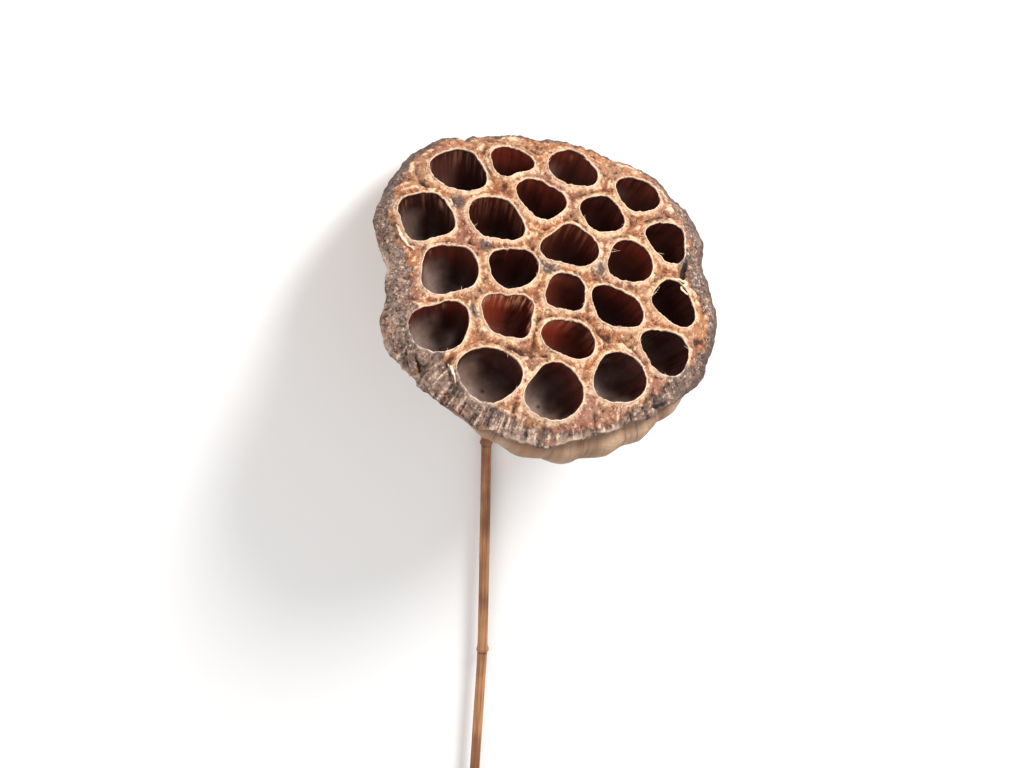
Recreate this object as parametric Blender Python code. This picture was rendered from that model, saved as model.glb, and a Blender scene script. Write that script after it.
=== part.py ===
"""Dried lotus pod on its thin cane, lying on its side.

Both pieces are drawn straight, in the pod's own frame: the top of the face at the origin, the
face looking along +Z, and the cane running down -Z. The route of the cane then bends them: it
goes straight down the pod, round the bend under it and along the surface they lie on.
"""

import math

import bpy
import numpy as np
from mathutils import Vector
from mathutils.geometry import delaunay_2d_cdt

# Lengths are in millimetres and angles in degrees
POD_DEPTH = 56.0  # from the top of the face to the point where the bowl would close
POD_RADIUS = 50.6  # of the outer wall, taken on round the pod
# How round the bowl is, by angle: 1 is a cone, 3 a deep round bowl
BOWL_POWERS = (
    (0, 2.4), (60, 2.5), (90, 2.5), (120, 2.4), (150, 2.0), (180, 1.4), (215, 1.4), (245, 1.9),
    (265, 2.5), (285, 2.8), (330, 2.6),
)
FACE_LIFT = 42.0  # how far the face looks up from the horizontal as the pod lies
# Where the top of the face is, from the middle of the whole part on the surface. The lowest ribs
# would reach 0.9 below the surface, and are pressed flat there: that is what the pod lies on.
FACE_AT = (123.0, 1.3, 49.25)

DOME = 2.5  # how far the face falls from its middle to the rim
RIM_BAND = 6.5  # width of the rolled band at the rim
RIM_DROP = 4.2  # how far that band falls
RIM_ROLL_POWER = 1.7  # 1 is a straight slope down to the edge
RIM_INSET = 1.6  # from the edge of the rim to where the face ends
RIM_WAVES = ((17, 0.35), (29, 0.22))  # waves round the edge, and how high they stand
RIM_UNDERSIDE = ((0.0, 0.0), (0.9, 1.0), (1.9, 2.4))  # in from the edge and down: the crease under it
VALLEY = 0.8  # how far the face sinks between the lips
VALLEY_WIDTH = 2.6

# Edge of the rim: angle from the right of the face, anticlockwise, and distance from the middle
RIM_EDGE = (
    (2, 49.6), (13, 48.2), (22, 52.0), (36, 51.9), (45, 52.8), (59, 50.5), (73, 49.9), (92, 49.4),
    (103, 50.7), (111, 51.8), (117, 53.2), (128, 54.6), (138, 53.2), (152, 52.2), (162, 49.6),
    (176, 45.0), (187, 45.9), (196, 49.3), (204, 50.5), (220, 49.7), (238, 49.0), (259, 49.4),
    (270, 49.1), (283, 46.7), (297, 46.5), (311, 47.7), (321, 49.5), (335, 50.8), (350, 50.3),
)
RIM_TEARS = ((218.5, 2.2, 2.6), (113.0, 0.9, 2.4))  # angle, depth and half width in degrees

# Seed cells: place of the middle, length, width, turn of the long way, then how three-cornered
# and how four-cornered the mouth is, each with the angle of one corner
CELLS = (
    (-23.5, 33.5, 16.0, 13.5, 165, 0.055, 70, 0.030, 65),
    (-8.5, 37.5, 12.5, 9.5, 5, 0.115, 0, 0.050, 70),
    (9.5, 36.5, 14.5, 11.5, 155, 0.045, 85, 0.020, 70),
    (28.0, 29.5, 13.0, 11.0, 155, 0.045, 10, 0.030, 60),
    (-34.1, 17.8, 16.0, 15.7, 30, 0.040, 115, 0.065, 62),
    (-14.0, 18.0, 16.5, 13.5, 150, 0.035, 85, 0.040, 55),
    (-0.5, 25.5, 15.0, 11.5, 145, 0.075, 15, 0.040, 0),
    (17.0, 22.0, 13.0, 11.5, 145, 0.015, 70, 0.045, 70),
    (7.0, 10.5, 16.5, 13.0, 5, 0.100, 80, 0.045, 10),
    (24.0, 7.0, 14.0, 13.0, 60, 0.055, 95, 0.025, 30),
    (35.5, 15.0, 13.5, 11.0, 110, 0.100, 45, 0.020, 50),
    (-28.6, 0.9, 17.7, 15.1, 33, 0.050, 113, 0.050, 47),
    (-10.2, 2.3, 14.7, 12.7, 20, 0.055, 22, 0.030, 54),
    (4.5, -4.5, 12.5, 11.5, 60, 0.045, 80, 0.055, 35),
    (-32.2, -17.2, 18.4, 14.7, 31, 0.065, 46, 0.030, 54),
    (-12.5, -12.7, 15.2, 14.2, 168, 0.080, 38, 0.070, 42),
    (19.0, -8.0, 16.0, 12.0, 150, 0.065, 0, 0.035, 45),
    (36.0, -5.0, 15.0, 11.5, 115, 0.085, 70, 0.015, 0),
    (4.5, -19.0, 16.0, 11.5, 165, 0.040, 55, 0.020, 35),
    (32.5, -20.5, 15.0, 13.0, 130, 0.085, 30, 0.010, 60),
    (-18.8, -31.3, 18.2, 16.4, 0, 0.045, 25, 0.020, 85),
    (18.5, -30.0, 16.5, 14.5, 45, 0.060, 100, 0.015, 35),
    (-0.5, -35.8, 18.4, 15.5, 54, 0.050, 86, 0.025, 6),
)
CELL_LEAN = 0.4  # how steeply a cell leans to the pod's axis, for a cell at the rim
CELL_DEPTH = (7.5, 0.6)  # of any cell, and what each millimetre of its width adds
LIP_HEIGHT = 0.75
LIP_OFFSET = 0.2  # from the mouth of the cell out to the crest of its lip
COLLAR_OFFSET = 0.75  # from the mouth out to the foot of the lip
# Wall of a cell, from the floor up: share of its depth, and share of its width there
CELL_PROFILE = ((0.965, 0.38), (0.82, 0.71), (0.56, 0.92), (0.27, 1.0), (0.03, 0.985))

WALL_BULGE = (60.0, 0.8, 24.0)  # angle, height and half width
WALL_EVENS_OUT = (7.0, 22.0)  # from the rim's outline to a round one
WALL_EDGE = 1.4  # a row whose edges would be shorter than this gets half the points
RIB_COUNT = 24
RIB_HEIGHT = 0.75
RIB_WANDER = ((2, 12.0), (5, 9.0))  # waves that shift the ribs round the wall, in degrees
RIBS_RISE = (9.0, 19.0)
RIBS_FADE = (36.0, 54.0)
# Rows of the outer wall, by distance below the top of the face
WALL_ROWS = (12.5, 17.0, 22.0, 27.5, 33.0, 38.5, 43.0, 47.0, 50.2, 52.6, 54.8, 57.2, 60.0)
NECK_TOP_RADIUS = 4.0
NECK_END_RADIUS = 2.7
NECK_TOP = 53.0
NECK_END = 63.0
NECK_BLEND = 3.0  # how closely the bowl runs into the neck
SOCKET_TOP = 54.5
CLEARANCE = 0.3  # between the cane and the socket it sits in

CANE_END = 292.0  # along the route, from the top of the face
CANE_TOP_RADIUS = 1.5
CANE_END_RADIUS = 1.35
JOINTS = (83.0, 146.0, 214.0, 268.0)  # rings of the cane, along the route
JOINT_SWELL = 0.3
JOINT_WIDTH = 0.9
JOINT_KINKS = (1.6, -2.2, 1.4, 0.8)  # how far the cane turns sideways at each ring
JOINT_BEND = 3.0  # half the length that the turn takes
JOINT_ROWS = (-2.2, -0.9, 0.0, 0.9, 2.2)  # rings of points from the middle of each
PITH_RADIUS = 0.55
PITH_DEPTH = 4.0

BEND_START = 55.0
BEND_LENGTH = 30.0
BEND_SWING = 5.0  # how far the cane turns sideways in the bend
CANE_RISE = 2.6  # how steeply it rises as it leaves the bend
CANE_FALL = 3.36  # how steeply it comes down on the surface at its end
ROUTE_STEP = 0.5
ROUTE_SPARE = 10.0  # how far the route goes on past the face and past the end of the cane

RIM_SIDES = 96
CELL_SIDES = 18
CANE_SIDES = 12
FACE_STEP = 3.3  # distance between points of the face
FACE_JITTER = 0.25  # share of a step by which they are moved at random
FACE_KEEP_OFF = 0.4  # share of a step that they keep off the rim and the lips
CANE_STEP = 5.0
POD_COLOUR = (0.42, 0.24, 0.14)
POD_ROUGHNESS = 0.8
CANE_COLOUR = (0.45, 0.24, 0.11)
CANE_ROUGHNESS = 0.5
SHARP_FROM = 55.0
SEED = 11
METRES = 0.001


def angles(sides):
    """Even angles round a full turn, one for each point of a ring."""
    return np.arange(sides) * 360.0 / sides


def ease(low, high, value):
    """0 below low, 1 above high, and a smooth step between."""
    share = np.clip((np.asarray(value, float) - low) / (high - low), 0.0, 1.0)
    return share * share * (3.0 - 2.0 * share)


def closed_curve(knots, angle):
    """Smooth curve through angle and value pairs round a full turn."""
    at = np.array([k[0] for k in knots], float)
    value = np.array([k[1] for k in knots], float)
    at = np.concatenate([at[-2:] - 360.0, at, at[:2] + 360.0])
    value = np.concatenate([value[-2:], value, value[:2]])
    slope = np.gradient(value, at)
    angle = np.mod(angle, 360.0)
    left = np.searchsorted(at, angle, side="right") - 1
    span = at[left + 1] - at[left]
    t = (angle - at[left]) / span
    start = (1.0 + 2.0 * t) * (1.0 - t) ** 2 * value[left] + t * (1.0 - t) ** 2 * span * slope[left]
    end = t * t * (3.0 - 2.0 * t) * value[left + 1] + t * t * (t - 1.0) * span * slope[left + 1]
    return start + end


def turn_between(a, b):
    """Smallest turn from b to a, between -180 and 180."""
    return np.mod(a - b + 180.0, 360.0) - 180.0


def rim_radius(angle):
    """Edge of the rim with its waves and tears."""
    radius = closed_curve(RIM_EDGE, angle)
    for count, height in RIM_WAVES:
        radius = radius + height * np.sin(np.radians(count * angle) + count)
    for middle, depth, half in RIM_TEARS:
        radius = radius - depth * np.clip(1.0 - np.abs(turn_between(angle, middle)) / half, 0.0, 1.0)
    return radius


def cell_radius(cell, angle):
    """Mouth of a cell: an ellipse with three or four soft corners."""
    length, width, turn, three, three_at, four, four_at = cell[2:]
    a, b = length / 2.0, width / 2.0
    way = np.radians(angle - turn)
    ellipse = a * b / np.sqrt((b * np.cos(way)) ** 2 + (a * np.sin(way)) ** 2)
    corners = three * np.cos(3.0 * np.radians(angle - three_at))
    corners = corners + four * np.cos(4.0 * np.radians(angle - four_at))
    return ellipse * (1.0 + corners)


def lip_gap(x, y):
    """Distance from a point of the face to the nearest mouth, read along the line to its middle."""
    gaps = []
    for cell in CELLS:
        away_x, away_y = x - cell[0], y - cell[1]
        angle = np.degrees(np.arctan2(away_y, away_x))
        gaps.append(np.hypot(away_x, away_y) - cell_radius(cell, angle))
    return np.min(gaps, axis=0)


def face_height(x, y):
    """Height of the face: a low dome, rolled down at the rim and sunk between the lips."""
    radius = np.hypot(x, y)
    inward = rim_radius(np.degrees(np.arctan2(y, x))) - radius
    dome = -DOME * (radius / POD_RADIUS) ** 2
    roll = -RIM_DROP * np.clip(1.0 - inward / RIM_BAND, 0.0, 1.0) ** RIM_ROLL_POWER
    sunk = -VALLEY * ease(COLLAR_OFFSET, COLLAR_OFFSET + VALLEY_WIDTH, lip_gap(x, y))
    return dome + roll + sunk


def wall_radius(angle, down):
    """Outer wall: a bowl that takes over the rim's outline, evens out, ribs and ends in the neck."""
    evened = ease(*WALL_EVENS_OUT, down)
    outline = closed_curve(RIM_EDGE, angle) * (1.0 - evened) + POD_RADIUS * evened
    middle, height, half = WALL_BULGE
    outline = outline + height * evened * np.exp(-((turn_between(angle, middle) / half) ** 2))
    power = closed_curve(BOWL_POWERS, angle)
    bowl = outline * np.clip(1.0 - (down / POD_DEPTH) ** power, 0.0, 1.0)
    neck_share = np.clip((down - NECK_TOP) / (NECK_END - NECK_TOP), 0.0, 1.0)
    neck = NECK_TOP_RADIUS + (NECK_END_RADIUS - NECK_TOP_RADIUS) * neck_share
    shown = ease(*RIBS_RISE, down) * (1.0 - ease(*RIBS_FADE, down))
    wander = sum(height * np.sin(np.radians(count * (angle - 90.0))) for count, height in RIB_WANDER)
    ribs = -RIB_HEIGHT * shown * np.cos(np.radians(RIB_COUNT * (angle - 90.0) + wander))
    return (bowl**NECK_BLEND + neck**NECK_BLEND) ** (1.0 / NECK_BLEND) + ribs


def cane_radius(down):
    """Radius of the cane, which thins towards its end and swells at its rings."""
    share = (down - SOCKET_TOP) / (CANE_END - SOCKET_TOP)
    radius = CANE_TOP_RADIUS + (CANE_END_RADIUS - CANE_TOP_RADIUS) * share
    for joint in JOINTS:
        radius = radius + JOINT_SWELL * math.exp(-(((down - joint) / JOINT_WIDTH) ** 2))
    return radius


class Route:
    """The line that the pod and the cane follow, read off in small steps."""

    def __init__(self):
        down = np.arange(-ROUTE_SPARE, CANE_END + ROUTE_SPARE, ROUTE_STEP)
        bent = ease(BEND_START, BEND_START + BEND_LENGTH, down)
        along = np.clip((down - BEND_START - BEND_LENGTH) / (CANE_END - BEND_START - BEND_LENGTH), 0, 1)
        pitch = FACE_LIFT * (1.0 - bent) - CANE_RISE * bent + (CANE_RISE + CANE_FALL) * along
        swing = BEND_SWING * bent
        for joint, kink in zip(JOINTS, JOINT_KINKS):
            swing = swing + kink * ease(joint - JOINT_BEND, joint + JOINT_BEND, down)
        p, w = np.radians(pitch), np.radians(swing)
        ahead = np.stack([-np.cos(p) * np.cos(w), -np.cos(p) * np.sin(w), -np.sin(p)], axis=1)
        self.down = down
        self.across = np.stack([np.sin(w), -np.cos(w), np.zeros_like(w)], axis=1)
        self.under = np.stack([np.sin(p) * np.cos(w), np.sin(p) * np.sin(w), -np.cos(p)], axis=1)
        middles = (ahead[1:] + ahead[:-1]) / 2.0 * ROUTE_STEP
        self.line = np.vstack([np.zeros(3), np.cumsum(middles, axis=0)])
        self.line = self.line - self.read(self.line, 0.0)

    def read(self, table, down):
        return np.stack([np.interp(down, self.down, table[:, i]) for i in range(3)], axis=-1)

    def place(self, points):
        """Carry points of the straight frame to where they lie, and press flat what would sink in."""
        points = np.asarray(points, float)
        down = -points[:, 2]
        across = self.read(self.across, down) * points[:, :1]
        under = self.read(self.under, down) * points[:, 1:2]
        placed = self.read(self.line, down) + across + under + np.array(FACE_AT)
        placed[:, 2] = np.maximum(placed[:, 2], 0.0)
        return placed


class Skin:
    """Points and triangles of one closed surface, built from rings that run anticlockwise."""

    def __init__(self):
        self.points = []
        self.faces = []

    def add(self, x, y, z):
        x, y, z = np.broadcast_arrays(*(np.atleast_1d(value) for value in (x, y, z)))
        first = len(self.points)
        self.points.extend(zip(x.tolist(), y.tolist(), z.tolist()))
        return list(range(first, len(self.points)))

    def join(self, inner, outer):
        """Faces between two rings; the outer one has as many points as the inner one, or half."""
        count = len(inner)
        for i in range(count):
            j = (i + 1) % count
            if len(outer) == count:
                self.faces.append((inner[i], outer[i], outer[j]))
                self.faces.append((inner[i], outer[j], inner[j]))
            elif i % 2 == 0:
                near, far = outer[i // 2], outer[(i // 2 + 1) % len(outer)]
                last = inner[(i + 2) % count]
                self.faces.append((inner[i], near, inner[j]))
                self.faces.append((inner[j], near, far))
                self.faces.append((inner[j], far, last))

    def close(self, ring, x, y, z, last=False):
        """Fan from a ring to one point: the first of a surface, or the last."""
        middle = self.add(x, y, z)[0]
        for i, start in enumerate(ring):
            end = ring[(i + 1) % len(ring)]
            self.faces.append((start, middle, end) if last else (middle, start, end))


def cell_rings(skin, cell):
    """One seed cell from its floor up to the foot of its lip; the ring at that foot is returned."""
    angle = angles(CELL_SIDES)
    cos, sin = np.cos(np.radians(angle)), np.sin(np.radians(angle))
    mouth = cell_radius(cell, angle)
    top = face_height(cell[0] + mouth * cos, cell[1] + mouth * sin)
    depth = CELL_DEPTH[0] + CELL_DEPTH[1] * math.sqrt(cell[2] * cell[3])
    lean = CELL_LEAN / POD_RADIUS * depth
    floor = top.mean() - depth
    rings = []
    for share, width in CELL_PROFILE:
        shift = 1.0 - lean * share
        x = cell[0] * shift + width * mouth * cos
        y = cell[1] * shift + width * mouth * sin
        rings.append(skin.add(x, y, top + (floor - top) * share))
    skin.close(rings[0], cell[0] * (1.0 - lean), cell[1] * (1.0 - lean), floor)
    for offset, rise in ((LIP_OFFSET, LIP_HEIGHT), (COLLAR_OFFSET, 0.0)):
        x = cell[0] + (mouth + offset) * cos
        y = cell[1] + (mouth + offset) * sin
        rings.append(skin.add(x, y, face_height(x, y) + rise))
    for inner, outer in zip(rings, rings[1:]):
        skin.join(inner, outer)
    return rings[-1]


def face_between(skin, edge, mouths):
    """Fill the face between the rim and the feet of the lips with even triangles."""
    rng = np.random.default_rng(SEED)
    reach = POD_RADIUS + RIM_BAND
    rows = np.arange(-reach, reach, FACE_STEP * math.sqrt(0.75))
    x, y = np.meshgrid(np.arange(-reach, reach, FACE_STEP), rows)
    x = x + np.where(np.arange(len(rows)) % 2 == 1, FACE_STEP / 2.0, 0.0)[:, None]
    x = (x + rng.uniform(-FACE_JITTER, FACE_JITTER, x.shape) * FACE_STEP).ravel()
    y = (y + rng.uniform(-FACE_JITTER, FACE_JITTER, y.shape) * FACE_STEP).ravel()
    inward = rim_radius(np.degrees(np.arctan2(y, x))) - np.hypot(x, y)
    room = np.minimum(inward - RIM_INSET, lip_gap(x, y) - COLLAR_OFFSET)
    keep = room > FACE_KEEP_OFF * FACE_STEP
    filler = skin.add(x[keep], y[keep], face_height(x[keep], y[keep]))
    used = edge + [index for mouth in mouths for index in mouth] + filler
    flat = [Vector(skin.points[index][:2]) for index in used]
    loops = []
    start = 0
    for loop in [edge] + mouths:
        loops.append(list(range(start, start + len(loop))))
        start += len(loop)
    made = delaunay_2d_cdt(flat, [], loops, 0, 1e-6, True)
    source = [ids[0] for ids in made[3]]
    for face, inside in zip(made[2], made[5]):
        if list(inside) == [0]:
            a, b, c = (source[corner] for corner in face)
            across = (flat[b] - flat[a]).cross(flat[c] - flat[a])
            order = (a, b, c) if across > 0 else (a, c, b)
            skin.faces.append(tuple(used[corner] for corner in order))


def around(skin, sides, radius, down):
    """Ring round the axis; its radius is one number, or one for each of its points."""
    way = np.radians(angles(sides))
    return skin.add(radius * np.cos(way), radius * np.sin(way), -down)


def rim_and_wall(skin, edge):
    """Edge of the rim, the crease under it, the ribbed wall, the neck and the socket in it."""
    angle = angles(RIM_SIDES)
    cos, sin = np.cos(np.radians(angle)), np.sin(np.radians(angle))
    rim = rim_radius(angle)
    level = face_height(rim * cos, rim * sin)
    rings = [edge]
    for inward, down in RIM_UNDERSIDE:
        rings.append(skin.add((rim - inward) * cos, (rim - inward) * sin, level - down))
    sides = RIM_SIDES
    for down in WALL_ROWS:
        if sides > 2 * CANE_SIDES and 2.0 * math.pi * wall_radius(0.0, down) / sides < WALL_EDGE:
            sides //= 2
        rings.append(around(skin, sides, wall_radius(angles(sides), down), down))
    rings.append(around(skin, sides, wall_radius(angles(sides), NECK_END), NECK_END))
    for down in (NECK_END, (NECK_END + SOCKET_TOP) / 2.0, SOCKET_TOP):
        rings.append(around(skin, CANE_SIDES, CANE_TOP_RADIUS + CLEARANCE, down))
    for inner, outer in zip(rings, rings[1:]):
        skin.join(inner, outer)
    skin.close(rings[-1], 0.0, 0.0, -SOCKET_TOP, last=True)


def pod_skin():
    skin = Skin()
    mouths = [cell_rings(skin, cell) for cell in CELLS]
    way = np.radians(angles(RIM_SIDES))
    reach = rim_radius(angles(RIM_SIDES)) - RIM_INSET
    x, y = reach * np.cos(way), reach * np.sin(way)
    edge = skin.add(x, y, face_height(x, y))
    face_between(skin, edge, mouths)
    rim_and_wall(skin, edge)
    return skin


def cane_rows():
    """Distances along the route where the cane gets a ring of points."""
    rows = list(np.arange(SOCKET_TOP + CLEARANCE, BEND_START + BEND_LENGTH, CANE_STEP / 2.0))
    rows += list(np.arange(rows[-1] + CANE_STEP, CANE_END - CANE_STEP / 2.0, CANE_STEP))
    rows = [row for row in rows if min(abs(row - joint) for joint in JOINTS) > JOINT_BEND]
    for joint in JOINTS:
        rows += [joint + offset for offset in JOINT_ROWS]
    return sorted(rows) + [CANE_END]


def cane_skin():
    skin = Skin()
    rows = cane_rows()
    rings = [around(skin, CANE_SIDES, cane_radius(row), row) for row in rows]
    for down in (CANE_END, CANE_END - PITH_DEPTH):
        rings.append(around(skin, CANE_SIDES, PITH_RADIUS, down))
    skin.close(rings[0], 0.0, 0.0, -rows[0])
    for inner, outer in zip(rings, rings[1:]):
        skin.join(inner, outer)
    skin.close(rings[-1], 0.0, 0.0, PITH_DEPTH - CANE_END, last=True)
    return skin


def material(name, colour, roughness):
    made = bpy.data.materials.new(name)
    made.use_nodes = True
    shader = made.node_tree.nodes["Principled BSDF"]
    shader.inputs["Base Color"].default_value = (*colour, 1.0)
    shader.inputs["Roughness"].default_value = roughness
    shader.inputs["Metallic"].default_value = 0.0
    made.diffuse_color = (*colour, 1.0)
    return made


def piece(name, skin, route, finish):
    mesh = bpy.data.meshes.new(name)
    mesh.from_pydata((route.place(skin.points) * METRES).tolist(), [], skin.faces)
    mesh.shade_smooth()
    mesh.set_sharp_from_angle(angle=math.radians(SHARP_FROM))
    mesh.materials.append(finish)
    made = bpy.data.objects.new(name, mesh)
    bpy.context.scene.collection.objects.link(made)
    return made


def main():
    for thing in list(bpy.data.objects):
        bpy.data.objects.remove(thing)
    route = Route()
    piece("pod", pod_skin(), route, material("dried_pod", POD_COLOUR, POD_ROUGHNESS))
    piece("stem", cane_skin(), route, material("cane", CANE_COLOUR, CANE_ROUGHNESS))


main()
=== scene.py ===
import math

import bpy
import numpy as np
from mathutils import Matrix, Vector
from mathutils.geometry import delaunay_2d_cdt


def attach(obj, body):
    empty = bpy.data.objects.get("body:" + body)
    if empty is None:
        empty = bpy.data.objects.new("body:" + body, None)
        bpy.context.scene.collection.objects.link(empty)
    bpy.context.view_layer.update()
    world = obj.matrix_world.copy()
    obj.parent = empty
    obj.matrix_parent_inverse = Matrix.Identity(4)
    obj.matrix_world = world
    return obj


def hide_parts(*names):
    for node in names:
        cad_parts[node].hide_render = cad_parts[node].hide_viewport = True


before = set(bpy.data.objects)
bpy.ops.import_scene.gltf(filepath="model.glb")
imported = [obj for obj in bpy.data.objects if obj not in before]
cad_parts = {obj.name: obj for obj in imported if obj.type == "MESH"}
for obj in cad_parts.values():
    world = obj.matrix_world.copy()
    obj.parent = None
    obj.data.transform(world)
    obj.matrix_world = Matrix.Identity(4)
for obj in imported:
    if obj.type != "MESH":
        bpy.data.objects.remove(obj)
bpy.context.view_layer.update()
print("frame loaded:", ", ".join(sorted(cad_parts)))

# Everything is drawn straight, in millimetres, in the pod's own frame: the top of the face at the
# origin, x to the right in the face, y up in it, z out of it, and the cane down -z. toWorld() then
# carries the points along the route of the cane to where the frame has them. Angles are degrees.
route = {
    "faceAt": (123.0, 1.3, 49.25),  # top of the face, from the middle of the part
    "faceLift": 42.0,  # how far the face looks up from the horizontal
    "bendStart": 55.0,  # below the top of the face, as are all distances along the route
    "bendLength": 30.0,
    "bendSwing": 5.0,  # turn sideways in the bend
    "caneRise": 2.6,  # how far the cane points up just after the bend
    "caneFall": 3.36,  # and down at its end
    "caneEnd": 292.0,
    "joints": (83.0, 146.0, 214.0, 268.0),
    "kinks": (1.6, -2.2, 1.4, 0.8),  # turn of the cane at each joint
    "kinkHalf": 3.0,
    "step": 0.5,
    "spare": 10.0,  # how far the route goes on at both ends
}

seed = 11
mm = 0.001


# 0 below low, 1 above high, and 3t^2 - 2t^3 between.
def ease(low, high, value):
    share = np.clip((np.asarray(value, float) - low) / (high - low), 0.0, 1.0)
    return share * share * (3.0 - 2.0 * share)


# Smallest turn from b to a, between -180 and 180.
def turnBetween(a, b):
    return np.mod(a - b + 180.0, 360.0) - 180.0


# Cubic Hermite curve through (angle, value) knots that closes after a full turn.
def closedCurve(knots, angle):
    at, value = np.array(knots, float).T
    at = np.concatenate([at[-2:] - 360.0, at, at[:2] + 360.0])
    value = np.concatenate([value[-2:], value, value[:2]])
    slope = np.gradient(value, at)
    angle = np.mod(angle, 360.0)
    left = np.searchsorted(at, angle, side="right") - 1
    span = at[left + 1] - at[left]
    t = (angle - at[left]) / span
    start = (1.0 + 2.0 * t) * (1.0 - t) ** 2 * value[left] + t * (1.0 - t) ** 2 * span * slope[left]
    return start + t * t * (3.0 - 2.0 * t) * value[left + 1] + t * t * (t - 1.0) * span * slope[left + 1]


# The line of the route and the two directions across it: its pitch and swing turn smoothly through
# the bend and at each joint, and the line is the running sum of the steps that they point along.
def makeRoute():
    r = route
    down = np.arange(-r["spare"], r["caneEnd"] + r["spare"], r["step"])
    bendEnd = r["bendStart"] + r["bendLength"]
    bent = ease(r["bendStart"], bendEnd, down)
    along = np.clip((down - bendEnd) / (r["caneEnd"] - bendEnd), 0.0, 1.0)
    pitch = r["faceLift"] * (1.0 - bent) - r["caneRise"] * bent + (r["caneRise"] + r["caneFall"]) * along
    swing = r["bendSwing"] * bent
    for joint, kink in zip(r["joints"], r["kinks"]):
        swing = swing + kink * ease(joint - r["kinkHalf"], joint + r["kinkHalf"], down)
    p, w = np.radians(pitch), np.radians(swing)
    ahead = np.stack([-np.cos(p) * np.cos(w), -np.cos(p) * np.sin(w), -np.sin(p)], axis=1)
    across = np.stack([np.sin(w), -np.cos(w), np.zeros_like(w)], axis=1)
    under = np.stack([np.sin(p) * np.cos(w), np.sin(p) * np.sin(w), -np.cos(p)], axis=1)
    line = np.vstack([np.zeros(3), np.cumsum((ahead[1:] + ahead[:-1]) / 2.0 * r["step"], axis=0)])
    return down, line, across, under


routeDown, routeLine, routeAcross, routeUnder = makeRoute()


def readRoute(table, down):
    return np.stack([np.interp(down, routeDown, table[:, i]) for i in range(3)], axis=-1)


# A straight point (x, y, -d) goes to line(d) + x across(d) + y under(d); what would sink into the
# surface below is pressed flat on it.
def toWorld(points):
    down = -points[:, 2]
    placed = readRoute(routeLine, down) - readRoute(routeLine, 0.0) + np.array(route["faceAt"])
    placed += readRoute(routeAcross, down) * points[:, :1] + readRoute(routeUnder, down) * points[:, 1:2]
    placed[:, 2] = np.maximum(placed[:, 2], 0.0)
    return placed * mm


draw = np.random.default_rng(seed)
shuffled = np.tile(draw.permutation(256), 2)
ways = draw.normal(size=(256, 3))
ways /= np.linalg.norm(ways, axis=1)[:, None]


# Gradient noise, about -1 to 1: at each corner of the unit box round a point, a random direction is
# dotted with the way to the point, and the eight are blended by 6t^5 - 15t^4 + 10t^3. size is the
# width of a lump in mm, and each kind reads another part of the pattern.
def grain(points, size, kind):
    p = np.asarray(points, float) / size + 37.31 * kind
    low = np.floor(p).astype(int)
    f = p - low
    blend = f * f * f * (f * (f * 6.0 - 15.0) + 10.0)
    total = np.zeros(p.shape[:-1])
    for corner in np.ndindex(2, 2, 2):
        a, b, c = (np.mod(low + corner, 256)).transpose(-1, *range(p.ndim - 1))
        way = ways[shuffled[shuffled[shuffled[a] + b] + c]]
        weight = np.prod(np.where(corner, blend, 1.0 - blend), axis=-1)
        total += weight * np.sum(way * (f - corner), axis=-1)
    return total * 1.7


# Sum of noises, one for each (size, height), with kinds from the given one on.
def grains(points, layers, kind):
    return sum(height * grain(points, size, kind + i) for i, (size, height) in enumerate(layers))


def stack(x, y, z):
    return np.stack(np.broadcast_arrays(x, y, z), axis=-1).astype(float)


# Points at a distance and an angle round a middle, and at a height.
def around(radius, angle, height=0.0, middle=(0.0, 0.0)):
    way = np.radians(angle)
    return stack(middle[0] + radius * np.cos(way), middle[1] + radius * np.sin(way), height)


def ringAngles(sides):
    return np.arange(sides) * 360.0 / sides


# How far an angle faces a side: 1 towards it, -1 away from it.
def facing(angle, side):
    return np.cos(np.radians(angle - side))


# Height of a bell curve, 1 in its middle, whose half width is where it has fallen to 0.37.
def bell(away, half):
    return np.exp(-((away / half) ** 2))


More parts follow.
